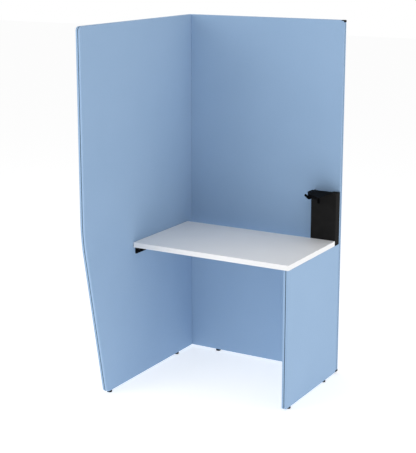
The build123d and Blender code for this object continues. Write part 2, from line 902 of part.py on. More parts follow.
# Hooked finger: a bent rod under the plate, down from its root and up again to a round tip
finger_root_x = hanger_left_x + finger_root_inset
finger_y = hanger_rear_y - finger_forward
finger_tip = (finger_root_x - finger_span, duct_top_z - finger_tip_drop)

with BuildPart() as hanger_finger:
    with BuildLine(Plane.XZ.offset(-finger_y)) as finger_path:
        FilletPolyline(
            (finger_root_x, duct_top_z),
            (finger_root_x, duct_top_z - finger_depth),
            finger_tip,
            radius=finger_bend_radius,
        )
    with BuildSketch(Plane((finger_root_x, finger_y, duct_top_z), z_dir=(0, 0, -1))):
        Circle(finger_radius)
    sweep()
    tip_point = (finger_tip[0], finger_y, finger_tip[1])
    tip_face = hanger_finger.faces().filter_by(GeomType.PLANE).sort_by_distance(tip_point)[0]
    fillet(tip_face.edges(), finger_tip_round)
save(hanger_finger, "hanger_finger")

with BuildPart() as hanger_tip_sleeve:
    sleeve_low_z = duct_top_z - hanger_tip_drop - sleeve_wall - sleeve_clearance
    grown = sleeve_wall + sleeve_clearance
    add(
        block(
            (hanger_right_x - tip_width - grown, hanger_front_y - grown, sleeve_low_z),
            (
                hanger_right_x + grown,
                hanger_front_y + hanger_thickness + grown,
                sleeve_low_z + sleeve_height,
            ),
        )
    )
    fillet(hanger_tip_sleeve.edges().filter_by(Axis.Z), sleeve_wall)
    add(
        block(
            (
                hanger_right_x - tip_width - sleeve_clearance,
                hanger_front_y - sleeve_clearance,
                sleeve_low_z + sleeve_wall,
            ),
            (
                hanger_right_x + sleeve_clearance,
                hanger_front_y + hanger_thickness + sleeve_clearance,
                sleeve_low_z + sleeve_height,
            ),
        ),
        mode=Mode.SUBTRACT,
    )
save(hanger_tip_sleeve, "hanger_tip_sleeve")

# Levelling feet: an insert in each panel's frame, and a pad on a threaded stem that turns in it
side_spots = left_foot_spots + right_foot_spots

with BuildPart() as foot_inserts:
    add(insert_blocks(side_spots, "y", 0))
    add(insert_blocks(back_foot_spots, "x", 0))
    add(
        drilled(
            Plane.XY.offset(foot_floor_z),
            list(feet.values()),
            foot_stem_radius + foot_thread_clearance,
            insert_height,
        ),
        mode=Mode.SUBTRACT,
    )
save(foot_inserts, "foot_inserts")

collar_top_z = panel_lift - foot_collar_clearance
stem_low_z = foot_pad_height - foot_stem_socket
stem_top_z = collar_top_z + foot_travel + foot_thread_engagement

for foot_name, (foot_x, foot_y) in feet.items():
    foot_axis = Axis((foot_x, foot_y, 0), (0, 0, 1))

    with BuildPart() as foot_pad:
        with BuildSketch(Plane.XZ.offset(-foot_y)):
            with BuildLine():
                Polyline(
                    (foot_x, 0),
                    (foot_x + foot_pad_radius - foot_pad_chamfer, 0),
                    (foot_x + foot_pad_radius, foot_pad_chamfer),
                    (foot_x + foot_pad_radius, foot_pad_shoulder),
                    (foot_x + foot_pad_top_radius, foot_pad_height),
                    (foot_x, foot_pad_height),
                    close=True,
                )
            make_face()
        revolve(axis=foot_axis)
        with Locations((foot_x, foot_y, foot_pad_height)):
            Hole(foot_stem_radius + foot_socket_clearance, foot_stem_socket)
    save(foot_pad, f"foot_pad_{foot_name}")

    with BuildPart() as foot_stem:
        with BuildSketch(Plane.XY.offset(foot_pad_height)):
            with Locations((foot_x, foot_y)):
                RegularPolygon(foot_collar_radius, 6)
        extrude(amount=collar_top_z - foot_pad_height)
        with BuildSketch(Plane.XY.offset(stem_low_z)):
            with Locations((foot_x, foot_y)):
                Circle(foot_stem_radius)
        extrude(amount=stem_top_z - stem_low_z)
        chamfer(foot_stem.edges().sort_by(Axis.Z)[-1], foot_stem_chamfer)
    save(foot_stem, f"foot_stem_{foot_name}")
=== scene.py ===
import json
import math

import bmesh
import bpy
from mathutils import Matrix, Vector


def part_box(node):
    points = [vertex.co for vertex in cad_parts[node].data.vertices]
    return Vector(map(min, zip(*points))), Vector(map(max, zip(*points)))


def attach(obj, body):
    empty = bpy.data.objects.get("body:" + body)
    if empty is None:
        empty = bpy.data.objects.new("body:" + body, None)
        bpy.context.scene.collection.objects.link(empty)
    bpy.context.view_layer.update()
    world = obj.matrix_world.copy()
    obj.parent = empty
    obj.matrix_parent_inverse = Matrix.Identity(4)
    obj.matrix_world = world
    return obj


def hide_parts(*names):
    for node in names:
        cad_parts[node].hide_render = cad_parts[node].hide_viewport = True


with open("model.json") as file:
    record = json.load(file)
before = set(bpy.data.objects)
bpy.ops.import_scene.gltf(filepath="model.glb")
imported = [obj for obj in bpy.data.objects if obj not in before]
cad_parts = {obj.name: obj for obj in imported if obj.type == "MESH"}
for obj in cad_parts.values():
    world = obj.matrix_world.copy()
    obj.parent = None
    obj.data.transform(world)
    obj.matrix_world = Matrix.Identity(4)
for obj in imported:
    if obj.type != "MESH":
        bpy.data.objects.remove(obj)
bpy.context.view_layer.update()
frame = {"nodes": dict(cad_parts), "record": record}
print("stage: frame loaded")

# Metres in the booth's own frame: +Z up, the user sits on the -Y side

cameraSettings = {
    "place": (2.7452, -4.8114, 2.1947),
    "azimuth": 30.09,
    "elevation": 12.97,
    "focalPixels": 1182.1,
    "imageSize": (416, 453),
    "opticalRow": 208,
    "sensor": 36.0,
}

lampSettings = {
    "rightWindow": {"place": (3.6, 0.2, 1.3), "aim": (0.0, 0.1, 1.0), "size": (2.4, 2.4), "power": 21.0},
    "leftWindow": {"place": (-2.6, -3.6, 2.4), "aim": (0.2, 0.3, 0.9), "size": (2.8, 2.8), "power": 62.0},
    "overheadPanel": {"place": (-0.5, 0.6, 3.6), "aim": (0.0, 0.1, 0.7), "size": (2.0, 2.0), "power": 18.0},
}

roomSettings = {
    "ambient": 0.53,
    "floorSize": 40.0,
    "floorPaint": (0.80, 0.80, 0.80, 1),
    "floorRoughness": 0.9,
    "floorShown": 0.55,
    "floorGlow": 0.745,
}

# Camera, lamps, world and floor


def aimedAlong(look):
    return look.to_track_quat("-Z", "Y").to_euler()


def placeCamera(settings):
    azimuth = math.radians(settings["azimuth"])
    elevation = math.radians(settings["elevation"])
    width, height = settings["imageSize"]
    look = Vector((
        -math.sin(azimuth) * math.cos(elevation),
        math.cos(azimuth) * math.cos(elevation),
        -math.sin(elevation),
    ))
    bpy.ops.object.camera_add(location=settings["place"], rotation=aimedAlong(look))
    camera = bpy.context.active_object
    camera.name = "photoView"
    camera.data.sensor_width = settings["sensor"]
    camera.data.lens = settings["focalPixels"] * settings["sensor"] / max(width, height)
    camera.data.shift_y = (settings["opticalRow"] - height / 2) / max(width, height)
    camera.data.dof.use_dof = False
    bpy.context.scene.camera = camera
    bpy.context.scene.view_settings.view_transform = "Standard"


def hangLamp(name, settings):
    look = Vector(settings["aim"]) - Vector(settings["place"])
    bpy.ops.object.light_add(type="AREA", location=settings["place"], rotation=aimedAlong(look))
    lamp = bpy.context.active_object
    lamp.name = name
    lamp.data.shape = "RECTANGLE"
    lamp.data.size, lamp.data.size_y = settings["size"]
    lamp.data.energy = settings["power"]
    lamp.visible_camera = False


def directRays(nodes, links):
    # 1 for rays from the camera, a reflection or glass, which see a plain white room
    path = nodes.new("ShaderNodeLightPath")
    seen = path.outputs["Is Camera Ray"]
    for ray in ("Is Glossy Ray", "Is Transmission Ray"):
        seen = mathNode(nodes, links, "MAXIMUM", seen, path.outputs[ray])
    return seen


def paintWorld(settings):
    world = bpy.data.worlds.new("softRoom")
    bpy.context.scene.world = world
    world.use_nodes = True
    nodes, links = world.node_tree.nodes, world.node_tree.links
    nodes.clear()
    shown, lit = nodes.new("ShaderNodeBackground"), nodes.new("ShaderNodeBackground")
    shown.inputs["Strength"].default_value = 1.0
    lit.inputs["Strength"].default_value = settings["ambient"]
    for background in (shown, lit):
        background.inputs["Color"].default_value = (1, 1, 1, 1)
    mixed = nodes.new("ShaderNodeMixShader")
    links.new(directRays(nodes, links), mixed.inputs["Fac"])
    links.new(lit.outputs[0], mixed.inputs[1])
    links.new(shown.outputs[0], mixed.inputs[2])
    links.new(mixed.outputs[0], nodes.new("ShaderNodeOutputWorld").inputs["Surface"])


def layFloor(settings):
    bpy.ops.mesh.primitive_plane_add(size=settings["floorSize"])
    floor = bpy.context.active_object
    floor.name = "floor"
    material, nodes, links, shader = newMaterial("paleFloor")
    shader.inputs["Base Color"].default_value = settings["floorPaint"]
    shader.inputs["Roughness"].default_value = settings["floorRoughness"]
    shader.inputs["Specular IOR Level"].default_value = 0.0
    shader.inputs["Emission Color"].default_value = (1, 1, 1, 1)
    shown, glow = settings["floorShown"], settings["floorGlow"]
    strength = mathNode(nodes, links, "MULTIPLY_ADD", directRays(nodes, links), shown - glow, glow)
    links.new(strength, shader.inputs["Emission Strength"])
    floor.data.materials.append(material)


# Nodes that several materials share

nodeSettings = {"rampEnds": (0.35, 0.65), "fineDetail": 4.0, "broadDetail": 3.0}


def newMaterial(name):
    material = bpy.data.materials.new(name)
    material.use_nodes = True
    nodes = material.node_tree.nodes
    return material, nodes, material.node_tree.links, nodes["Principled BSDF"]


def mathNode(nodes, links, operation, *values):
    node = nodes.new("ShaderNodeMath")
    node.operation = operation
    for socket, value in zip(node.inputs, values):
        if isinstance(value, (int, float)):
            socket.default_value = value
        else:
            links.new(value, socket)
    return node.outputs[0]


def noiseNode(nodes, links, vector, scale, detail):
    noise = nodes.new("ShaderNodeTexNoise")
    noise.inputs["Scale"].default_value = scale
    noise.inputs["Detail"].default_value = detail
    links.new(vector, noise.inputs["Vector"])
    return noise.outputs["Fac"]


def shadeBetween(nodes, links, factor, dark, light):
    ramp = nodes.new("ShaderNodeValToRGB")
    elements, ends = ramp.color_ramp.elements, nodeSettings["rampEnds"]
    for element, position, colour in zip(elements, ends, (dark, light)):
        element.position = position
        element.color = colour
    links.new(factor, ramp.inputs["Fac"])
    return ramp.outputs["Color"]


def raised(nodes, links, height, strength, distance, under=None):
    bump = nodes.new("ShaderNodeBump")
    bump.inputs["Strength"].default_value = strength
    bump.inputs["Distance"].default_value = distance
    links.new(height, bump.inputs["Height"])
    if under is not None:
        links.new(under, bump.inputs["Normal"])
    return bump.outputs["Normal"]


# Woven cover: warp and weft cross on the piece's own UV map, which is in metres

fabricSettings = {
    "light": (0.320, 0.465, 0.660, 1),
    "dark": (0.296, 0.438, 0.630, 1),
    "threadPitch": 0.0015,
    "weaveHeight": 0.00025,
    "weaveStrength": 0.30,
    "weaveShare": 0.20,
    "slubScale": 300.0,
    "slubStrength": 0.10,
    "slubShare": 0.45,
    "mottleScale": 4.0,
    "mottleShare": 0.35,
    "roughness": 0.95,
    "sheen": 0.08,
    "sheenRoughness": 0.6,
    "gloss": 0.15,
}


def wovenCover(name, settings):
    material, nodes, links, shader = newMaterial(name)
    threads = nodes.new("ShaderNodeUVMap").outputs["UV"]
    sides = nodes.new("ShaderNodeSeparateXYZ")
    links.new(threads, sides.inputs[0])
    turn = math.pi / settings["threadPitch"]
    warp, weft = (
        mathNode(nodes, links, "SINE", mathNode(nodes, links, "MULTIPLY", sides.outputs[side], turn))
        for side in ("X", "Y")
    )
    # the crossing runs from -1 to 1 and the weave from 0 to 1
    crossing = mathNode(nodes, links, "MULTIPLY", warp, weft)
    weave = mathNode(nodes, links, "MULTIPLY_ADD", crossing, 0.5, 0.5)
    place = nodes.new("ShaderNodeTexCoord").outputs["Object"]
    slub = noiseNode(nodes, links, place, settings["slubScale"], nodeSettings["fineDetail"])
    mottle = noiseNode(nodes, links, place, settings["mottleScale"], nodeSettings["broadDetail"])
    shade = mathNode(nodes, links, "MULTIPLY", slub, settings["slubShare"])
    shade = mathNode(nodes, links, "MULTIPLY_ADD", mottle, settings["mottleShare"], shade)
    shade = mathNode(nodes, links, "MULTIPLY_ADD", weave, settings["weaveShare"], shade)
    colour = shadeBetween(nodes, links, shade, settings["dark"], settings["light"])
    links.new(colour, shader.inputs["Base Color"])
    under = raised(nodes, links, slub, settings["slubStrength"], settings["weaveHeight"])
    cloth = raised(nodes, links, weave, settings["weaveStrength"], settings["weaveHeight"], under)
    links.new(cloth, shader.inputs["Normal"])
    shader.inputs["Roughness"].default_value = settings["roughness"]
    shader.inputs["Sheen Weight"].default_value = settings["sheen"]
    shader.inputs["Sheen Roughness"].default_value = settings["sheenRoughness"]
    shader.inputs["Specular IOR Level"].default_value = settings["gloss"]
    return material


# Hard finishes: fine grain, slow cloud, a gloss that follows the cloud, and rubbed edges on some

finishSettings = {
    "cloudSpread": 45,
    "grainShare": 0.5,
    "roughnessSwing": 0.12,
    "edgeSamples": 4,
    "edgeReach": 0.0012,
    "edgeContrast": 4.0,
}

hardSettings = {
    "whiteLaminate": {
        "light": (0.905, 0.895, 0.885, 1), "dark": (0.885, 0.875, 0.865, 1),
        "grain": 520.0, "bump": 0.05, "height": 0.00008, "roughness": 0.46, "gloss": 0.35, "metal": 0.0,
    },
    "whiteEdging": {
        "light": (0.880, 0.880, 0.885, 1), "dark": (0.860, 0.860, 0.868, 1),
        "grain": 340.0, "bump": 0.06, "height": 0.00008, "roughness": 0.40, "gloss": 0.40, "metal": 0.0,
    },
    "blackPowderCoat": {
        "light": (0.0190, 0.0186, 0.0184, 1), "dark": (0.0140, 0.0138, 0.0138, 1),
        "grain": 1300.0, "bump": 0.30, "height": 0.00010, "roughness": 0.62, "gloss": 0.012, "metal": 0.0,
        "wear": 0.6, "rubbed": (0.036, 0.036, 0.037, 1),
    },
    # painted shade: a darker copy of the black coat, so that the hanger plate's top, which catches more
    # light than the duct's front, stays dark
    "blackCoatShadedCopy": {
        "light": (0.0058, 0.0058, 0.0062, 1), "dark": (0.0040, 0.0040, 0.0044, 1),
        "grain": 1000.0, "bump": 0.15, "height": 0.00006, "roughness": 0.58, "gloss": 0.010, "metal": 0.0,
        "wear": 0.5, "rubbed": (0.018, 0.018, 0.019, 1),
    },
    "blackenedScrew": {
        "light": (0.020, 0.020, 0.021, 1), "dark": (0.012, 0.012, 0.013, 1),
        "grain": 1500.0, "bump": 0.10, "height": 0.00005, "roughness": 0.45, "gloss": 0.30, "metal": 0.0,
        "wear": 0.5, "rubbed": (0.06, 0.06, 0.062, 1),
    },
    "blackNylon": {
        "light": (0.0050, 0.0050, 0.0052, 1), "dark": (0.0032, 0.0032, 0.0034, 1),
        "grain": 900.0, "bump": 0.20, "height": 0.00008, "roughness": 0.60, "gloss": 0.05, "metal": 0.0,
        "wear": 0.2, "rubbed": (0.012, 0.012, 0.012, 1),
    },
    "blackRubber": {
        "light": (0.0022, 0.0022, 0.0024, 1), "dark": (0.0014, 0.0014, 0.0015, 1),
        "grain": 700.0, "bump": 0.25, "height": 0.00008, "roughness": 0.85, "gloss": 0.010, "metal": 0.0,
        "wear": 0.2, "rubbed": (0.006, 0.006, 0.006, 1),
    },
    "blueCapPlastic": {
        "light": (0.265, 0.385, 0.560, 1), "dark": (0.245, 0.365, 0.535, 1),
        "grain": 800.0, "bump": 0.12, "height": 0.00006, "roughness": 0.55, "gloss": 0.30, "metal": 0.0,
        "wear": 0.2, "rubbed": (0.32, 0.44, 0.62, 1),
    },
    # the spacer's blue-grey colour is partly its own and partly painted shade: it is darkened so the bottom
    # of the groove looks shaded
    "spacerBlueWithShade": {
        "light": (0.055, 0.095, 0.150, 1), "dark": (0.040, 0.072, 0.120, 1),
        "grain": 160.0, "bump": 0.20, "height": 0.00020, "roughness": 0.85, "gloss": 0.10, "metal": 0.0,
    },
    "paperFiller": {
        "light": (0.42, 0.33, 0.22, 1), "dark": (0.33, 0.25, 0.16, 1),
        "grain": 240.0, "bump": 0.30, "height": 0.00020, "roughness": 0.90, "gloss": 0.10, "metal": 0.0,
    },
    "zincPlate": {
        "light": (0.60, 0.61, 0.63, 1), "dark": (0.46, 0.47, 0.49, 1),
        "grain": 420.0, "bump": 0.10, "height": 0.00005, "roughness": 0.38, "gloss": 0.50, "metal": 1.0,
        "wear": 0.4, "rubbed": (0.72, 0.73, 0.75, 1),
    },
    "oxidisedStem": {
        "light": (0.055, 0.055, 0.057, 1), "dark": (0.032, 0.032, 0.034, 1),
        "grain": 900.0, "bump": 0.12, "height": 0.00005, "roughness": 0.42, "gloss": 0.50, "metal": 0.9,
        "wear": 0.5, "rubbed": (0.22, 0.22, 0.23, 1),
    },
}


def rubbedEdges(nodes, links, cloud, wear):
    # where a softened normal leaves the true one there is an edge, and the cloud breaks it up
    softened = nodes.new("ShaderNodeBevel")
    softened.samples = finishSettings["edgeSamples"]
    softened.inputs["Radius"].default_value = finishSettings["edgeReach"]
    compare = nodes.new("ShaderNodeVectorMath")
    compare.operation = "DOT_PRODUCT"
    links.new(softened.outputs["Normal"], compare.inputs[0])
    links.new(nodes.new("ShaderNodeNewGeometry").outputs["Normal"], compare.inputs[1])
    edge = mathNode(nodes, links, "SUBTRACT", 1.0, compare.outputs["Value"])
    edge = mathNode(nodes, links, "MULTIPLY", edge, finishSettings["edgeContrast"] * wear)
    worn = mathNode(nodes, links, "MULTIPLY", edge, cloud)
    return mathNode(nodes, links, "MINIMUM", worn, 1.0)


def hardFinish(name, settings):
    material, nodes, links, shader = newMaterial(name)
    place = nodes.new("ShaderNodeTexCoord").outputs["Object"]
    cloudScale = settings["grain"] / finishSettings["cloudSpread"]
    grain = noiseNode(nodes, links, place, settings["grain"], nodeSettings["fineDetail"])
    cloud = noiseNode(nodes, links, place, cloudScale, nodeSettings["broadDetail"])
    share, swing = finishSettings["grainShare"], finishSettings["roughnessSwing"]
    shade = mathNode(nodes, links, "MULTIPLY", grain, share)
    shade = mathNode(nodes, links, "MULTIPLY_ADD", cloud, 1 - share, shade)
    colour = shadeBetween(nodes, links, shade, settings["dark"], settings["light"])
    if "wear" in settings:
        blend = nodes.new("ShaderNodeMix")
        blend.data_type = "RGBA"
        links.new(rubbedEdges(nodes, links, cloud, settings["wear"]), blend.inputs["Factor"])
        links.new(colour, blend.inputs["A"])
        blend.inputs["B"].default_value = settings["rubbed"]
        colour = blend.outputs["Result"]
    links.new(colour, shader.inputs["Base Color"])
    rough = mathNode(nodes, links, "MULTIPLY_ADD", cloud, swing, settings["roughness"] - swing / 2)
    links.new(rough, shader.inputs["Roughness"])
    links.new(raised(nodes, links, grain, settings["bump"], settings["height"]), shader.inputs["Normal"])
    shader.inputs["Metallic"].default_value = settings["metal"]
    shader.inputs["Specular IOR Level"].default_value = settings["gloss"]
    return material


finishNames = {
    "desk_laminate": "whiteLaminate",
    "desk_edging": "whiteEdging",
    "black_steel": "blackPowderCoat",
    "black_lacquer": "blackCoatShadedCopy",
    "screw_black": "blackenedScrew",
    "black_plastic": "blackNylon",
    "black_rubber": "blackRubber",
    "cap_plastic": "blueCapPlastic",
    "frame_wood": "spacerBlueWithShade",
    "filler_board": "paperFiller",
    "zinc_steel": "zincPlate",
    "stem_steel": "oxidisedStem",
}
finishes = {slotName: hardFinish(name, hardSettings[name]) for slotName, name in finishNames.items()}
finishes["panel_fabric"] = wovenCover("paleBlueWeave", fabricSettings)
slotOfNode = {row["node"]: row["material_slot"] for row in frame["record"]["subparts"]}
for nodeName, cadNode in frame["nodes"].items():
    cadNode.data.materials.clear()
    cadNode.data.materials.append(finishes[slotOfNode[nodeName]])
print("stage: materials")


# Mesh work, one step each. Places less than tiny apart count as one place

tiny = 2e-5
sharpEdge = math.radians(60)
shadeSettings = {"smoothBelow": 38, "normalWeight": 60}


def selectOnly(piece):
    bpy.ops.object.select_all(action="DESELECT")
    piece.select_set(True)
    bpy.context.view_layer.objects.active = piece


def settle(name):
    piece = bpy.context.active_object
    piece.name = name
    piece.data.name = name
    bpy.ops.object.transform_apply(location=True, rotation=True, scale=True)
    return piece


def addBlock(name, low, high):
    size = [b - a for a, b in zip(low, high)]
    middle = [(a + b) / 2 for a, b in zip(low, high)]
    bpy.ops.object.select_all(action="DESELECT")
    bpy.ops.mesh.primitive_cube_add(size=1, location=middle, scale=size)
    return settle(name)


def addSheet(name, low, high):
    # a flat sheet at the top of the box, as large as the box
    middle = ((low.x + high.x) / 2, (low.y + high.y) / 2, high.z)
    bpy.ops.object.select_all(action="DESELECT")
    bpy.ops.mesh.primitive_plane_add(size=1, location=middle)
    bpy.context.active_object.scale = (high.x - low.x, high.y - low.y, 1)
    return settle(name)


def addRod(name, foot, direction, radius, length, sides=24, topRadius=None):
    aim = Vector(direction).normalized()
    middle = Vector(foot) + aim * length / 2
    bpy.ops.object.select_all(action="DESELECT")
    bpy.ops.mesh.primitive_cone_add(
        vertices=sides,
        radius1=radius,
        radius2=radius if topRadius is None else topRadius,
        depth=length,
        location=middle,
        rotation=aim.to_track_quat("Z", "Y").to_euler(),
    )
    return settle(name)


def edit(piece):
    selectOnly(piece)
    bpy.ops.object.mode_set(mode="EDIT")


def done():
    bpy.ops.object.mode_set(mode="OBJECT")


def pick(piece, kind, test):
    bpy.ops.mesh.select_mode(type=kind)
    bpy.ops.mesh.select_all(action="DESELECT")
    mesh = bmesh.from_edit_mesh(piece.data)
    for part in {"VERT": mesh.verts, "EDGE": mesh.edges, "FACE": mesh.faces}[kind]:
        if test(part):
            part.select_set(True)
    mesh.select_flush_mode()
    bmesh.update_edit_mesh(piece.data)


def pickAll():
    bpy.ops.mesh.select_mode(type="FACE")
    bpy.ops.mesh.select_all(action="SELECT")


def lies(part, axis, place):
    return all(abs(vertex.co[axis] - place) < tiny for vertex in part.verts)


def runsAlong(edge, axis):
    a, b = (vertex.co for vertex in edge.verts)
    return all(abs(a[side] - b[side]) < tiny for side in range(3) if side != axis)


def near(edge, axis, spot):
    # an edge along this axis that passes through the spot, given in the other two coordinates
    others = [side for side in range(3) if side != axis]
    return runsAlong(edge, axis) and all(
        abs(edge.verts[0].co[side] - value) < tiny for side, value in zip(others, spot)
    )


def meets(vertex, spot):
    return (vertex.co - spot).length < tiny


def joins(edge, *spots):
    return all(any(meets(vertex, spot) for spot in spots) for vertex in edge.verts)


def rounded(radius, segments=1, affect="EDGES"):
    bpy.ops.mesh.bevel(offset=radius, segments=segments, profile=0.5, affect=affect, clamp_overlap=True)


def grow(move):
    bpy.ops.mesh.extrude_region_move(TRANSFORM_OT_translate={"value": move})


def outward():
    pickAll()
    bpy.ops.mesh.normals_make_consistent(inside=False)


def applyModifier(piece, kind, **values):
    selectOnly(piece)
    modifier = piece.modifiers.new(kind.lower(), kind)
    for name, value in values.items():
        setattr(modifier, name, value)
    bpy.ops.object.modifier_apply(modifier=modifier.name)


def thicken(piece, sheet):
    applyModifier(piece, "SOLIDIFY", thickness=sheet, offset=-1, use_even_offset=True)


def cutAway(piece, *cutters):
    for cutter in cutters:
        applyModifier(piece, "BOOLEAN", object=cutter, operation="DIFFERENCE", solver="EXACT")
        bpy.data.objects.remove(cutter)


def easeEdges(piece, radius, degrees=40):
    limit = math.radians(degrees)
    applyModifier(piece, "BEVEL", width=radius, segments=2, limit_method="ANGLE", angle_limit=limit)


def finishPiece(piece, body, slotName, *nodeNames):
    selectOnly(piece)
    bpy.ops.object.shade_smooth_by_angle(angle=math.radians(shadeSettings["smoothBelow"]))
    applyModifier(piece, "WEIGHTED_NORMAL", keep_sharp=True, weight=shadeSettings["normalWeight"])
    piece.data.materials.clear()
    piece.data.materials.append(finishes[slotName])
    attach(piece, body)
    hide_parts(*nodeNames)


def mapThreads(piece):
    # the UV map is in metres, one flat patch for each direction that a face looks in
    edit(piece)
    pickAll()
    bpy.ops.uv.cube_project(cube_size=1.0, correct_aspect=False, clip_to_bounds=False, scale_to_bounds=False)
    done()


# Covered boards: a block, its outline rounded, a rim of folded fabric on the groove side

boardSettings = {
    "edgeRound": 0.003,
    "edgeSegments": 5,
    "rimWidth": 0.005,
    "rimRise": 0.0025,
    "rimRound": 0.0006,
    "rimSegments": 2,
}

slantSettings = {
    "bendHeight": 0.818,
    "slantAngle": 10.8,
    "bendRadius": 0.850,
    "bendSegments": 16,
    "topRadius": 0.020,
    "bottomRadius": 0.022,
    "cornerSegments": 10,
}


def slantFront(piece, low, high, settings):
    # the left panel's front edge is upright above the bend and slants back below it
    lean = math.radians(settings["slantAngle"])
    bend = (low.x, low.y, settings["bendHeight"])
    footY = low.y + (settings["bendHeight"] - low.z) * math.tan(lean)
    pickAll()
    bpy.ops.mesh.bisect(
        plane_co=bend, plane_no=(0, -math.cos(lean), -math.sin(lean)), use_fill=True, clear_outer=True
    )
    corners = (
        ((low.y, high.z), settings["topRadius"], math.pi / 2, settings["cornerSegments"]),
        ((low.y, settings["bendHeight"]), settings["bendRadius"], lean, settings["bendSegments"]),
        ((footY, low.z), settings["bottomRadius"], math.pi / 2 - lean, settings["cornerSegments"]),
    )
    for spot, radius, turn, segments in corners:
        pick(piece, "EDGE", lambda edge: near(edge, 0, spot))
        rounded(radius * math.tan(turn / 2), segments)


def coverBoard(name, nodeName, axis, side, settings, slant=None):
    low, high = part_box(nodeName)
    face, groove = (high[axis], low[axis]) if side > 0 else (low[axis], high[axis])
    piece = addBlock(name, low, high)
    edit(piece)
    corners = [(x, y, z) for x in (low.x, high.x) for y in (low.y, high.y) for z in (low.z, high.z)]
    squareSpots = [
        [corner[other] for other in range(3) if other != axis]
        for corner in corners
        if slant is None or corner[1] > 0
    ]
    if slant is not None:
        slantFront(piece, low, high, slant)
    pick(piece, "FACE", lambda part: lies(part, axis, groove))
    bpy.ops.mesh.inset(thickness=settings["rimWidth"], depth=0)
    sink = Vector((0, 0, 0))
    sink[axis] = side * settings["rimRise"]
    grow(sink)
    pick(
        piece,
        "EDGE",
        lambda edge: lies(edge, axis, face) or any(near(edge, axis, spot) for spot in squareSpots),
    )
    rounded(settings["edgeRound"], settings["edgeSegments"])
    pick(piece, "EDGE", lambda edge: lies(edge, axis, groove) and edge.calc_face_angle(0) > sharpEdge)
    rounded(settings["rimRound"], settings["rimSegments"])
    outward()
    done()
    return piece


cutSettings = {
    "stemRadius": 0.0036,
    "stemDepth": 0.006,
    "stemSides": 32,
    "pocketRadius": 0.006,
    "pocketDepth": 0.007,
    "pocketSides": 48,
    "leftBoltShares": (0.12, 0.39, 0.66, 0.92),
    "rightBoltShares": (0.25, 0.80),
    "capThickness": 0.003,
    "capGap": 0.0002,
    "overrun": 0.002,
}
capPlan = (("endCapTop", "end_cap_top", 1), ("endCapBottom", "end_cap_bottom", -1))
footNames = ("left_front", "left_rear", "back_left", "back_right", "right_front", "right_rear")


def footPlace(footName):
    low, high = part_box("foot_pad_" + footName)
    return Vector(((low.x + high.x) / 2, (low.y + high.y) / 2, 0))


def boltSpots(settings):
    spots = []
    for panel in ("left", "right"):
        outerLow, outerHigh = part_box(panel + "_panel_outer_board")
        innerLow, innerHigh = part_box(panel + "_panel_inner_board")
        x = (min(outerLow.x, innerLow.x) + max(outerHigh.x, innerHigh.x)) / 2
        height = outerHigh.z - outerLow.z
        spots += [(x, outerLow.z + share * height) for share in settings[panel + "BoltShares"]]
    return spots


def capHeights(nodeName, up, thickness):
    # the cap's outer face, the inner face of its flat leg and the end of its upright leg
    low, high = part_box(nodeName)
    outer, end = (high.z, low.z) if up > 0 else (low.z, high.z)
    return outer, outer - up * thickness, end


def capCutters(settings):
    # the end caps sit flush, in steps cut into the free corners of the back panel
    gap, over, cutters = settings["capGap"], settings["overrun"], []
    for _, capNode, up in capPlan:
        low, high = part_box(capNode)
        outer, shelf, end = capHeights(capNode, up, settings["capThickness"])
        for left, inner in ((low.x, shelf), (high.x - settings["capThickness"], end)):
            bottom, top = sorted((inner - up * gap, outer + up * over))
            nearCorner = (left - gap, low.y - over, bottom)
            farCorner = (high.x + over, high.y + over, top)
            cutters.append(addBlock("capCutter", nearCorner, farCorner))
    return cutters


def cutForParts(board, nodeName, settings):
    # room for the foot stems, the end caps and the caps over the bolts
    low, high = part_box(nodeName)
    over = settings["overrun"]
    panel = nodeName.split("_")[0]
    radius, depth, sides = settings["stemRadius"], settings["stemDepth"] + over, settings["stemSides"]
    under = Vector((0, 0, low.z - over))
    cutters = [
        addRod("stemCutter", footPlace(footName) + under, (0, 0, 1), radius, depth, sides)
        for footName in footNames
        if footName.startswith(panel)
    ]
    if panel == "back":
        cutters += capCutters(settings)
    if nodeName == "back_panel_rear_board":
        mouthY, sides = high.y + over, settings["pocketSides"]
        radius, depth = settings["pocketRadius"], settings["pocketDepth"] + over
        cutters += [
            addRod("pocketCutter", (x, mouthY, z), (0, -1, 0), radius, depth, sides)
            for x, z in boltSpots(settings)
        ]
    cutAway(board, *cutters)


# painted shade: a darker copy of the cover cloth for the groove walls, where the groove's shade falls
grooveShadeSettings = {"light": (0.085, 0.150, 0.235, 1), "dark": (0.070, 0.128, 0.205, 1), "facing": 0.6}
grooveShadeCloth = wovenCover("grooveShadeCloth", {**fabricSettings, **grooveShadeSettings})


def paintGrooveShade(board, axis, side, settings):
    # painted shade: the faces towards the groove get a darker copy of the cloth, standing in for the shade
    # inside the groove
    board.data.materials.append(grooveShadeCloth)
    for face in board.data.polygons:
        face.material_index = int(-side * face.normal[axis] > settings["facing"])


# each board's node, the axis across its panel, the side of the panel that it is on, and its slant
boardPlan = {
    "leftOuterCover": ("left_panel_outer_board", 0, -1, slantSettings),
    "leftInnerCover": ("left_panel_inner_board", 0, 1, slantSettings),
    "backFrontCover": ("back_panel_front_board", 1, -1, None),
    "backRearCover": ("back_panel_rear_board", 1, 1, None),
    "rightInnerCover": ("right_panel_inner_board", 0, -1, None),
    "rightOuterCover": ("right_panel_outer_board", 0, 1, None),
}
for boardName, (boardNode, boardAxis, boardSide, boardSlant) in boardPlan.items():
    board = coverBoard(boardName, boardNode, boardAxis, boardSide, boardSettings, boardSlant)
    cutForParts(board, boardNode, cutSettings)
    mapThreads(board)
    finishPiece(board, "booth", "panel_fabric", boardNode)
    paintGrooveShade(board, boardAxis, boardSide, grooveShadeSettings)
print("stage: covered boards")


# Desk: a laminate top inside a thin edge band

deskSettings = {
    "bandThickness": 0.002,
    "cornerRadius": 0.004,
    "cornerSegments": 8,
    "rimRound": 0.0008,
    "underRound": 0.0003,
    "rimSegments": 4,
    "seamRound": 0.00015,
}


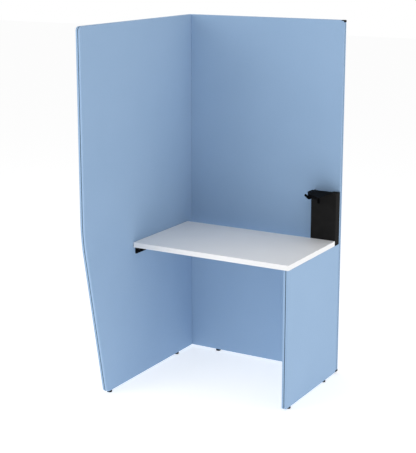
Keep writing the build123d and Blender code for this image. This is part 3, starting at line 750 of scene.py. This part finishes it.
def makeDeskTop(settings):
    low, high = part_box("desk_top")
    top = addBlock("deskTop", low, high)
    edit(top)
    pick(top, "EDGE", lambda edge: runsAlong(edge, 2))
    rounded(settings["cornerRadius"] - settings["bandThickness"], settings["cornerSegments"])
    pick(top, "EDGE", lambda edge: lies(edge, 2, high.z))
    rounded(settings["seamRound"])
    outward()
    done()
    return top


def makeEdgeBand(settings):
    low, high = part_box("desk_edge_band")
    wall = settings["bandThickness"]

    def fromOutline(place):
        return min(place.x - low.x, high.x - place.x, place.y - low.y, high.y - place.y)

    def onOuterRim(edge, height):
        outside = any(fromOutline(vertex.co) < wall - tiny for vertex in edge.verts)
        return outside and lies(edge, 2, height) and edge.calc_face_angle(0) > sharpEdge

    band = addBlock("deskEdgeBand", low, high)
    edit(band)
    pick(band, "EDGE", lambda edge: runsAlong(edge, 2))
    rounded(settings["cornerRadius"], settings["cornerSegments"])
    pick(band, "FACE", lambda face: lies(face, 2, low.z) or lies(face, 2, high.z))
    bpy.ops.mesh.inset(thickness=wall, depth=0)
    bpy.ops.mesh.delete(type="FACE")
    pick(band, "EDGE", lambda edge: edge.is_boundary)
    bpy.ops.mesh.bridge_edge_loops()
    for height, radius in ((high.z, settings["rimRound"]), (low.z, settings["underRound"])):
        pick(band, "EDGE", lambda edge: onOuterRim(edge, height))
        rounded(radius, settings["rimSegments"])
    outward()
    done()
    return band


finishPiece(makeDeskTop(deskSettings), "booth", "desk_laminate", "desk_top")
finishPiece(makeEdgeBand(deskSettings), "booth", "desk_edging", "desk_edge_band")
print("stage: desk top")


# Desk brackets: an angle of thick sheet with rounded free corners and drilled screw holes

bracketSettings = {
    "sheet": 0.003,
    "bendRadius": 0.0045,
    "bendSegments": 6,
    "webCorner": 0.006,
    "flangeCorner": 0.004,
    "cornerSegments": 8,
    "edgeEase": 0.0004,
    "endMargin": 0.030,
    "panelScrews": 4,
    "panelScrewDrop": 0.020,
    "panelHoleRadius": 0.0028,
    "deskScrews": 3,
    "deskScrewInset": 0.018,
    "deskHoleRadius": 0.00255,
    "drillOverrun": 0.003,
}


def spread(first, last, count):
    return [first + (last - first) * step / (count - 1) for step in range(count)]


def makeBracket(name, nodeName, side, settings):
    # side is -1 at the left panel and 1 at the right one, where the web stands against the board
    low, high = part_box(nodeName)
    webX, freeX = (low.x, high.x) if side < 0 else (high.x, low.x)
    bracket = addSheet(name, low, high)
    edit(bracket)
    pick(bracket, "EDGE", lambda edge: lies(edge, 0, webX))
    grow((0, 0, low.z - high.z))
    pick(bracket, "EDGE", lambda edge: lies(edge, 0, webX) and lies(edge, 2, high.z))
    rounded(settings["bendRadius"], settings["bendSegments"])
    for place, axis, radius in ((low.z, 2, settings["webCorner"]), (freeX, 0, settings["flangeCorner"])):
        pick(bracket, "VERT", lambda vertex: abs(vertex.co[axis] - place) < tiny)
        rounded(radius, settings["cornerSegments"], "VERTICES")
    outward()
    done()
    thicken(bracket, settings["sheet"])
    easeEdges(bracket, settings["edgeEase"])
    first, last = low.y + settings["endMargin"], high.y - settings["endMargin"]
    over = settings["drillOverrun"]
    depth = settings["sheet"] + 2 * over
    panelX, panelZ = webX + side * over, high.z - settings["panelScrewDrop"]
    deskX, deskZ = webX - side * settings["deskScrewInset"], high.z - settings["sheet"] - over
    cutters = [
        addRod("panelScrewHole", (panelX, y, panelZ), (-side, 0, 0), settings["panelHoleRadius"], depth)
        for y in spread(first, last, settings["panelScrews"])
    ]
    cutters += [
        addRod("deskScrewHole", (deskX, y, deskZ), (0, 0, 1), settings["deskHoleRadius"], depth)
        for y in spread(first, last, settings["deskScrews"])
    ]
    cutAway(bracket, *cutters)
    return bracket


for bracketName, bracketNode, bracketSide in (
    ("leftDeskBracket", "left_desk_bracket", -1),
    ("rightDeskBracket", "right_desk_bracket", 1),
):
    bracket = makeBracket(bracketName, bracketNode, bracketSide, bracketSettings)
    finishPiece(bracket, "booth", "black_lacquer", bracketNode)
print("stage: desk brackets")


# Cable duct: folded sheet, open below, at the back and at the back of its top

ductSettings = {
    "sheet": 0.002,
    "foldRadius": 0.003,
    "foldSegments": 6,
    "topFlange": 0.018,
    "topTab": 0.034,
    "edgeEase": 0.0003,
    "screwSetback": 0.0075,
    "screwHeights": (0.040, 0.210),
    "screwRadius": 0.0016,
    "screwHeadRadius": 0.0031,
    "hangerScrewRadius": 0.0021,
    "holeDepth": 0.005,
    "holeOverrun": 0.001,
}

sinkSettings = {"halfAngle": 41, "proud": 0.0001, "sides": 40}


def sinkHole(piece, spot, inwards, headRadius, radius, through):
    # a hole with a countersunk mouth, cut by a rod and a cone from just outside the face
    aim, proud, sides = Vector(inwards), sinkSettings["proud"], sinkSettings["sides"]
    slope = math.tan(math.radians(sinkSettings["halfAngle"]))
    mouth = Vector(spot) - aim * proud
    coneDepth = (headRadius - radius) / slope + proud
    cone = addRod("sinkCone", mouth, aim, headRadius + proud * slope, coneDepth, sides, radius)
    rod = addRod("sinkRod", mouth, aim, radius, through, sides)
    cutAway(piece, cone, rod)


def hangerScrewSpots():
    low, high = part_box("hanger_screws")
    headRadius = (high.y - low.y) / 2
    return [(x, (low.y + high.y) / 2) for x in (low.x + headRadius, high.x - headRadius)]


def makeDuctCover(settings):
    low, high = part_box("cable_duct_cover")
    cover = addBlock("ductCover", low, high)
    edit(cover)
    pick(cover, "EDGE", lambda edge: near(edge, 2, (low.x, low.y)) or near(edge, 2, (high.x, low.y)))
    rounded(settings["foldRadius"], settings["foldSegments"])
    flangeY, tabX = low.y + settings["topFlange"], high.x - settings["topTab"]
    for spot, normal in (((0, flangeY, 0), (0, 1, 0)), ((tabX, 0, 0), (1, 0, 0))):
        pick(cover, "FACE", lambda face: lies(face, 2, high.z))
        bpy.ops.mesh.bisect(plane_co=spot, plane_no=normal)

    def isOpen(face):
        middle = face.calc_center_median()
        cutFromTop = lies(face, 2, high.z) and middle.x < tabX and middle.y > flangeY
        return lies(face, 1, high.y) or lies(face, 2, low.z) or cutFromTop

    pick(cover, "FACE", isOpen)
    bpy.ops.mesh.delete(type="FACE")
    done()
    thicken(cover, settings["sheet"])
    easeEdges(cover, settings["edgeEase"])
    headRadius, radius, depth = settings["screwHeadRadius"], settings["screwRadius"], settings["holeDepth"]
    for x, inwards in ((low.x, (1, 0, 0)), (high.x, (-1, 0, 0))):
        for height in settings["screwHeights"]:
            spot = (x, high.y - settings["screwSetback"], low.z + height)
            sinkHole(cover, spot, inwards, headRadius, radius, depth)
    mouthZ = high.z + settings["holeOverrun"]
    rods = [
        addRod("hangerScrewHole", (x, y, mouthZ), (0, 0, -1), settings["hangerScrewRadius"], depth)
        for x, y in hangerScrewSpots()
    ]
    cutAway(cover, *rods)
    return cover


finishPiece(makeDuctCover(ductSettings), "booth", "black_steel", "cable_duct_cover")
print("stage: cable duct")


# Hanger: a plate cut to a narrow nose, with a tip and two side lips turned down and a hooked finger below

hangerSettings = {
    "sheet": 0.003,
    "outline": ((0, 0), (0, 0.355), (0.28, 0.65), (0.91, 1), (1, 1), (1, 0)),
    "cornerRadius": 0.004,
    "cornerSegments": 8,
    "tipDrop": 0.024,
    "lipDrop": 0.018,
    "lipStepDrop": 0.0075,
    "lipShares": (0.16, 0.77, 0.91),
    "noseLipDrop": 0.012,
    "noseLipShares": (0.125, 0.85),
    "bendRadius": 0.0031,
    "bendSegments": 6,
    "edgeEase": 0.0004,
    "screwHeadRadius": 0.0041,
    "screwRadius": 0.0021,
    "holeDepth": 0.006,
}


def makeHangerPlate(settings):
    low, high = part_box("hanger_plate")
    width, reach = high.x - low.x, high.y - low.y
    corners = [
        Vector((low.x + across * width, high.y - forward * reach, high.z))
        for across, forward in settings["outline"]
    ]
    shoulder, waist, nose = corners[1:4]
    plate = addSheet("hangerPlate", low, high)
    edit(plate)
    for start, end in ((shoulder, waist), (waist, nose)):
        run = (end - start).normalized()
        pickAll()
        bpy.ops.mesh.bisect(plane_co=start, plane_no=(run.y, -run.x, 0), clear_outer=True)

    def divideEdge(start, end, shares):
        pick(plate, "EDGE", lambda edge: joins(edge, start, end))
        bpy.ops.mesh.subdivide(number_cuts=len(shares))
        spots = [start.lerp(end, share) for share in shares]
        for place, newSpot in enumerate(spots, 1):
            spot = start.lerp(end, place / (len(shares) + 1))
            pick(plate, "VERT", lambda vertex: meets(vertex, spot))
            bpy.ops.transform.translate(value=newSpot - spot)
        return spots

    # the lips hang from the slanting edges, and the first has a deep and a shallow stretch
    lipSpots = divideEdge(shoulder, waist, settings["lipShares"])
    noseEnds = divideEdge(waist, nose, settings["noseLipShares"])
    tipEnds, deepEnds, stepEnds = corners[3:5], lipSpots[:2], lipSpots[1:]
    for ends, drop in ((tipEnds, "tipDrop"), (noseEnds, "noseLipDrop")):
        pick(plate, "EDGE", lambda edge: joins(edge, *ends))
        grow((0, 0, -settings[drop] - settings["sheet"]))
    pick(plate, "EDGE", lambda edge: joins(edge, *deepEnds) or joins(edge, *stepEnds))
    stepDown = Vector((0, 0, -settings["lipStepDrop"] - settings["sheet"]))
    grow(stepDown)
    pick(plate, "EDGE", lambda edge: joins(edge, *(spot + stepDown for spot in deepEnds)))
    grow((0, 0, settings["lipStepDrop"] - settings["lipDrop"]))
    bends = (tipEnds, deepEnds, stepEnds, noseEnds)
    pick(plate, "EDGE", lambda edge: any(joins(edge, *ends) for ends in bends))
    rounded(settings["bendRadius"], settings["bendSegments"])
    turn = math.atan2(waist.x - shoulder.x, shoulder.y - waist.y)
    shoulderTangent = settings["cornerRadius"] * math.tan(turn / 2)
    for spot, tangent in ((corners[0], settings["cornerRadius"]), (shoulder, shoulderTangent)):
        pick(plate, "VERT", lambda vertex: meets(vertex, spot))
        rounded(tangent, settings["cornerSegments"], "VERTICES")
    outward()
    done()
    thicken(plate, settings["sheet"])
    easeEdges(plate, settings["edgeEase"])
    headRadius, radius, depth = settings["screwHeadRadius"], settings["screwRadius"], settings["holeDepth"]
    for x, y in hangerScrewSpots():
        sinkHole(plate, (x, y, high.z), (0, 0, -1), headRadius, radius, depth)
    return plate


# painted shade: the black_lacquer slot takes the darker copy of the black coat, which keeps the plate's lit
# top dark
finishPiece(makeHangerPlate(hangerSettings), "booth", "black_lacquer", "hanger_plate")

fingerSettings = {
    "radius": 0.006,
    "rootInset": 0.0375,
    "forward": 0.0975,
    "depth": 0.027,
    "span": 0.0315,
    "tipDrop": 0.0025,
    "bendRadius": 0.008,
    "bendSteps": 14,
    "tipRound": 0.0035,
    "tipSegments": 6,
    "sides": 40,
}


def makeFinger(settings):
    low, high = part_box("hanger_plate")
    plateUnder = high.z - hangerSettings["sheet"]
    root = Vector((low.x + settings["rootInset"], high.y - settings["forward"], plateUnder))
    corner = root - Vector((0, 0, settings["depth"]))
    tip = root - Vector((settings["span"], 0, settings["tipDrop"]))
    rise = (tip - corner).normalized()
    turn = Vector((0, 0, -1)).angle(rise)
    tangent = settings["bendRadius"] * math.tan(turn / 2)
    bpy.ops.object.select_all(action="DESELECT")
    bpy.ops.mesh.primitive_circle_add(
        vertices=settings["sides"], radius=settings["radius"], location=root, fill_type="NGON"
    )
    finger = settle("hangerFinger")
    edit(finger)
    pickAll()
    grow((0, 0, tangent - settings["depth"]))
    bendCentre = corner + Vector((-settings["bendRadius"], 0, tangent))
    bpy.ops.mesh.spin(steps=settings["bendSteps"], angle=-turn, center=bendCentre, axis=(0, 1, 0))
    grow(rise * ((tip - corner).length - tangent))
    pick(finger, "EDGE", lambda edge: all(abs((vertex.co - tip).dot(rise)) < tiny for vertex in edge.verts))
    rounded(settings["tipRound"], settings["tipSegments"])
    outward()
    done()
    return finger


finishPiece(makeFinger(fingerSettings), "booth", "black_rubber", "hanger_finger")

sleeveSettings = {
    "wall": 0.0012,
    "cornerRadius": 0.0011,
    "cornerSegments": 5,
    "edgeEase": 0.0004,
    "easeAbove": 50,
}


def makeTipSleeve(settings):
    low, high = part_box("hanger_tip_sleeve")
    sleeve = addBlock("tipSleeve", low, high)
    edit(sleeve)
    pick(sleeve, "FACE", lambda face: lies(face, 2, high.z))
    bpy.ops.mesh.inset(thickness=settings["wall"], depth=0)
    grow((0, 0, low.z + settings["wall"] - high.z))
    uprights = [(x, y) for x in (low.x, high.x) for y in (low.y, high.y)]
    pick(sleeve, "EDGE", lambda edge: any(near(edge, 2, upright) for upright in uprights))
    rounded(settings["cornerRadius"], settings["cornerSegments"])
    outward()
    done()
    easeEdges(sleeve, settings["edgeEase"], degrees=settings["easeAbove"])
    return sleeve


finishPiece(makeTipSleeve(sleeveSettings), "booth", "black_rubber", "hanger_tip_sleeve")
print("stage: hanger")


# End caps: an angle over each free corner of the back panel

capSettings = {
    "thickness": cutSettings["capThickness"],
    "outerRound": 0.0011,
    "roundSegments": 4,
    "edgeEase": 0.0003,
}


def makeEndCap(name, nodeName, up, settings):
    # up is 1 for the cap on top of the panel and -1 for the one below it
    low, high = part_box(nodeName)
    outerZ, innerZ, dropZ = capHeights(nodeName, up, settings["thickness"])
    dropX = high.x - settings["thickness"]
    bottom, top = sorted((outerZ, innerZ))
    cap = addBlock(name, (low.x, low.y, bottom), (high.x, high.y, top))
    edit(cap)
    pickAll()
    bpy.ops.mesh.bisect(plane_co=(dropX, 0, 0), plane_no=(1, 0, 0))
    pick(cap, "FACE", lambda face: lies(face, 2, innerZ) and face.calc_center_median().x > dropX)
    grow((0, 0, dropZ - innerZ))
    pick(cap, "EDGE", lambda edge: near(edge, 1, (high.x, outerZ)))
    rounded(settings["outerRound"], settings["roundSegments"])
    outward()
    done()
    easeEdges(cap, settings["edgeEase"])
    return cap


for capName, capNode, capUp in capPlan:
    finishPiece(makeEndCap(capName, capNode, capUp, capSettings), "booth", "black_plastic", capNode)
print("stage: end caps")


# Levelling feet: one pad and one threaded stem are modelled and copied to the other five places

padSettings = {
    "sides": 64,
    "shoulder": 0.007,
    "topRadius": 0.0115,
    "bottomRound": 0.0008,
    "rimRound": 0.0003,
    "roundSegments": 4,
    "socketRadius": 0.0031,
    "socketDepth": 0.005,
    "dishInset": 0.0018,
    "dishWidth": 0.0020,
    "dishDepth": 0.0004,
}


def makeFootPad(name, footName, settings):
    low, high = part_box("foot_pad_" + footName)
    radius = (high.x - low.x) / 2
    pad = addRod(name, footPlace(footName), (0, 0, 1), radius, settings["shoulder"], settings["sides"])
    edit(pad)
    pick(pad, "FACE", lambda face: lies(face, 2, settings["shoulder"]))
    grow((0, 0, high.z - settings["shoulder"]))
    shrink = settings["topRadius"] / radius
    bpy.ops.transform.resize(value=(shrink, shrink, 1), center_override=footPlace(footName))
    rim = settings["rimRound"]
    for height, size in ((high.z, rim), (settings["shoulder"], rim), (0, settings["bottomRound"])):
        pick(pad, "EDGE", lambda edge: lies(edge, 2, height))
        rounded(size, settings["roundSegments"])
    # the round's uppermost faces lie almost as high, so the top is known by its many corners
    pick(pad, "FACE", lambda face: lies(face, 2, high.z) and len(face.verts) == settings["sides"])
    flat, width, depth = settings["dishInset"], settings["dishWidth"], settings["dishDepth"]
    for thickness, rise in ((flat, 0), (width, -depth), (width, depth)):
        bpy.ops.mesh.inset(thickness=thickness, depth=rise)
    inner = settings["topRadius"] - rim - flat - 2 * width
    bpy.ops.mesh.inset(thickness=inner - settings["socketRadius"], depth=0)
    grow((0, 0, -settings["socketDepth"]))
    outward()
    done()
    return pad


stemSettings = {
    "sides": 24,
    "radius": 0.003,
    "pitch": 0.001,
    "rootShare": 0.86,
    "endRound": 0.0004,
    "collarSides": 6,
    "collarTurn": 30,
    "collarBottom": 0.008,
    "collarTop": 0.0097,
    "collarRound": 0.0003,
}


def makeFootStem(name, footName, settings):
    # the thread is a row of rings, every second one drawn in to its root, with a hexagonal collar
    low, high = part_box("foot_stem_" + footName)
    place, length = footPlace(footName), high.z - low.z
    bottom = place + Vector((0, 0, low.z))
    stem = addRod(name, bottom, (0, 0, 1), settings["radius"], length, settings["sides"])
    edit(stem)
    steps = 2 * round(length / settings["pitch"])
    pick(stem, "EDGE", lambda edge: abs(edge.verts[0].co.z - edge.verts[1].co.z) > tiny)
    bpy.ops.mesh.subdivide(number_cuts=steps - 1)
    pick(stem, "VERT", lambda vertex: round((vertex.co.z - low.z) / length * steps) % 2 == 1)
    shrink = settings["rootShare"]
    bpy.ops.transform.resize(value=(shrink, shrink, 1), center_override=place)
    for height in (low.z, high.z):
        pick(stem, "EDGE", lambda edge: lies(edge, 2, height))
        rounded(settings["endRound"])
    outward()
    done()
    collarFoot = place + Vector((0, 0, settings["collarBottom"]))
    collarHeight = settings["collarTop"] - settings["collarBottom"]
    collarRadius = (high.x - low.x) / 2
    sides = settings["collarSides"]
    collar = addRod("stemCollar", collarFoot, (0, 0, 1), collarRadius, collarHeight, sides)
    edit(collar)
    pickAll()
    turn = math.radians(settings["collarTurn"])
    bpy.ops.transform.rotate(value=turn, orient_axis="Z", center_override=place)
    done()
    easeEdges(collar, settings["collarRound"])
    applyModifier(stem, "BOOLEAN", object=collar, operation="UNION", solver="EXACT")
    bpy.data.objects.remove(collar)
    return stem


footParts = (
    ("footPad", "foot_pad_", makeFootPad, padSettings, "black_plastic"),
    ("footStem", "foot_stem_", makeFootStem, stemSettings, "stem_steel"),
)
firstFoot = footNames[0]
for pieceStart, nodeStart, makePart, partSettings, partSlot in footParts:
    pieceNames = {footName: pieceStart + footName.title().replace("_", "") for footName in footNames}
    feet = {firstFoot: makePart(pieceNames[firstFoot], firstFoot, partSettings)}
    for footName in footNames[1:]:
        selectOnly(feet[firstFoot])
        bpy.ops.object.duplicate()
        bpy.ops.transform.translate(value=footPlace(footName) - footPlace(firstFoot))
        feet[footName] = settle(pieceNames[footName])
    for footName, footPiece in feet.items():
        finishPiece(footPiece, "foot_" + footName, partSlot, nodeStart + footName)
print("stage: levelling feet")


paintWorld(roomSettings)
layFloor(roomSettings)
for lampName, lampValues in lampSettings.items():
    hangLamp(lampName, lampValues)
placeCamera(cameraSettings)
print("stage: room and camera")
